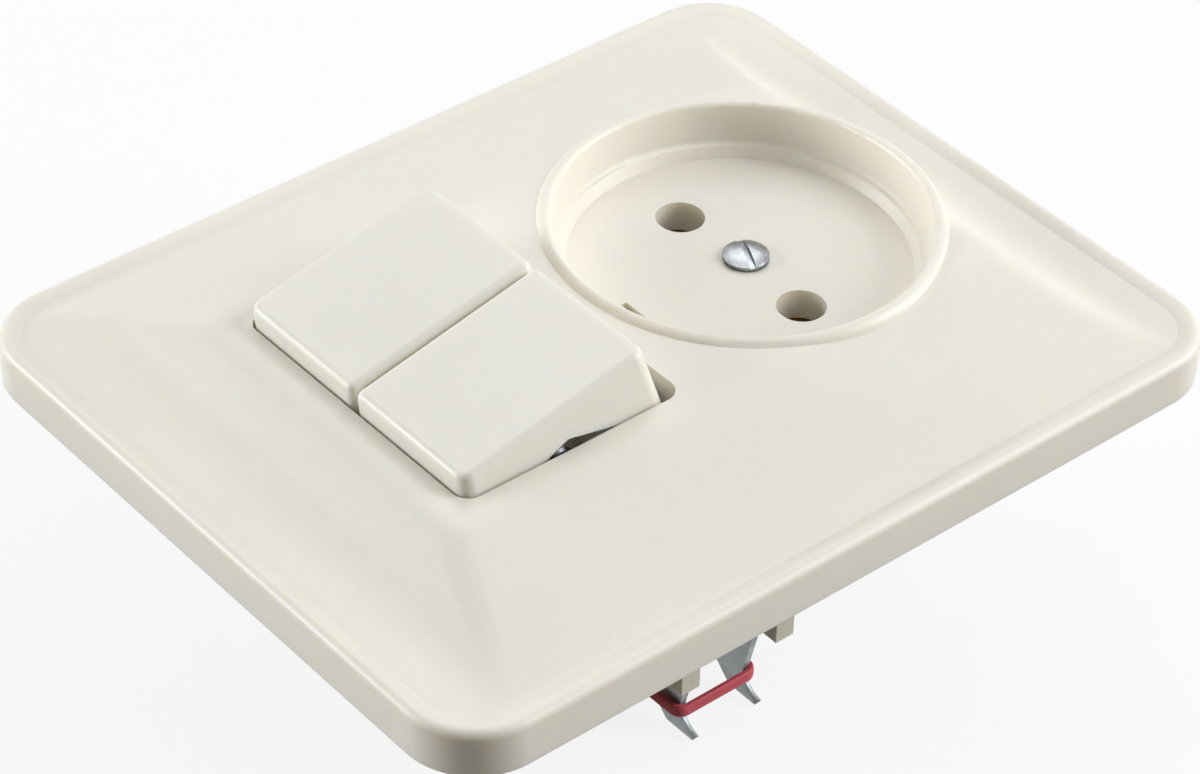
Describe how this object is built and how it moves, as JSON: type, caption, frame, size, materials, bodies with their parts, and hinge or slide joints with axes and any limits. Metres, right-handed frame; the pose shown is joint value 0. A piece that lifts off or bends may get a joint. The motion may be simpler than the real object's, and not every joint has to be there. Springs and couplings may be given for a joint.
{
  "type": "switch and socket combination",
  "caption": "Flush wall combination of two rocker switches and an unearthed round socket under one raised rectangular cover plate, with spreading claws.",
  "frame": {"origin": "middle of the cover plate, on the wall plane at the plate's rear rim", "axes": "+X from the switches to the socket along the plate's long side, +Y across it, +Z out of the wall"},
  "size_m": [0.1, 0.08, 0.0518],
  "materials": {
    "plate_plastic": "satin cream moulded plastic",
    "rocker_plastic": "smooth cream moulded plastic",
    "base_plastic": "matt cream moulded plastic",
    "inner_plastic": "matt moulded plastic",
    "zinc_screw": "bright zinc plate",
    "frame_steel": "galvanised sheet",
    "claw_steel": "galvanised sheet, bluish",
    "spring_steel": "drawn spring steel",
    "contact_brass": "stamped brass",
    "band_rubber": "red rubber"
  },
  "bodies": {
    "insert": {"cover_plate": "plate_plastic", "rocker_axle": "spring_steel", "common_contact": "contact_brass", "switched_contact_front": "contact_brass", "switched_contact_back": "contact_brass", "socket_contact_front": "contact_brass", "socket_contact_back": "contact_brass", "sleeve_clip_front": "spring_steel", "sleeve_clip_back": "spring_steel", "contact_cover": "inner_plastic", "base": "base_plastic", "support_frame": "frame_steel", "frame_rivets": "zinc_screw", "cover_screw": "zinc_screw", "screw_bush": "contact_brass", "switch_terminal_screws": "zinc_screw", "socket_terminal_screws": "zinc_screw", "claw_band": "band_rubber"},
    "key_front": {"rocker_front": "rocker_plastic", "rocker_cradle_front": "inner_plastic", "spring_plunger_front": "spring_steel", "toggle_spring_front": "spring_steel"},
    "seesaw_front": {"seesaw_contact_front": "contact_brass"},
    "claw_front": {"claw_front": "claw_steel"},
    "claw_screw_front": {"claw_screw_front": "zinc_screw"},
    "key_back": {"rocker_back": "rocker_plastic", "rocker_cradle_back": "inner_plastic", "spring_plunger_back": "spring_steel", "toggle_spring_back": "spring_steel"},
    "seesaw_back": {"seesaw_contact_back": "contact_brass"},
    "claw_back": {"claw_back": "claw_steel"},
    "claw_screw_back": {"claw_screw_back": "zinc_screw"}
  },
  "joints": [
    {"name": "key_front_tilt", "type": "hinge", "parent": "insert", "child": "key_front", "pos_m": [-0.0182, 0, 0.007], "axis": [0, 1, 0], "range_deg": [0, 10]},
    {"name": "seesaw_front_flip", "type": "hinge", "parent": "insert", "child": "seesaw_front", "pos_m": [-0.0182, 0, -0.003], "axis": [0, 1, 0], "range_deg": [-12, 0]},
    {"name": "claw_screw_front_turn", "type": "hinge", "parent": "insert", "child": "claw_screw_front", "pos_m": [0, -0.0183, 0], "axis": [0, 0, -1], "range_deg": [0, 1440]},
    {"name": "claw_front_spread", "type": "hinge", "parent": "insert", "child": "claw_front", "pos_m": [0, -0.0148, -0.0078], "axis": [-1, 0, 0], "range_deg": [0, 15], "deforming": ["claw_band"]},
    {"name": "key_back_tilt", "type": "hinge", "parent": "insert", "child": "key_back", "pos_m": [-0.0182, 0, 0.007], "axis": [0, 1, 0], "range_deg": [0, 10]},
    {"name": "seesaw_back_flip", "type": "hinge", "parent": "insert", "child": "seesaw_back", "pos_m": [-0.0182, 0, -0.003], "axis": [0, 1, 0], "range_deg": [-12, 0]},
    {"name": "claw_screw_back_turn", "type": "hinge", "parent": "insert", "child": "claw_screw_back", "pos_m": [0, 0.0183, 0], "axis": [0, 0, -1], "range_deg": [0, 1440]},
    {"name": "claw_back_spread", "type": "hinge", "parent": "insert", "child": "claw_back", "pos_m": [0, 0.0148, -0.0078], "axis": [1, 0, 0], "range_deg": [0, 15]}
  ],
  "couplings": [
    {"joint": "seesaw_front_flip", "follows": "key_front_tilt", "ratio": -1.2},
    {"joint": "claw_front_spread", "follows": "claw_screw_front_turn", "ratio": 0.0104},
    {"joint": "seesaw_back_flip", "follows": "key_back_tilt", "ratio": -1.2},
    {"joint": "claw_back_spread", "follows": "claw_screw_back_turn", "ratio": 0.0104}
  ]
}
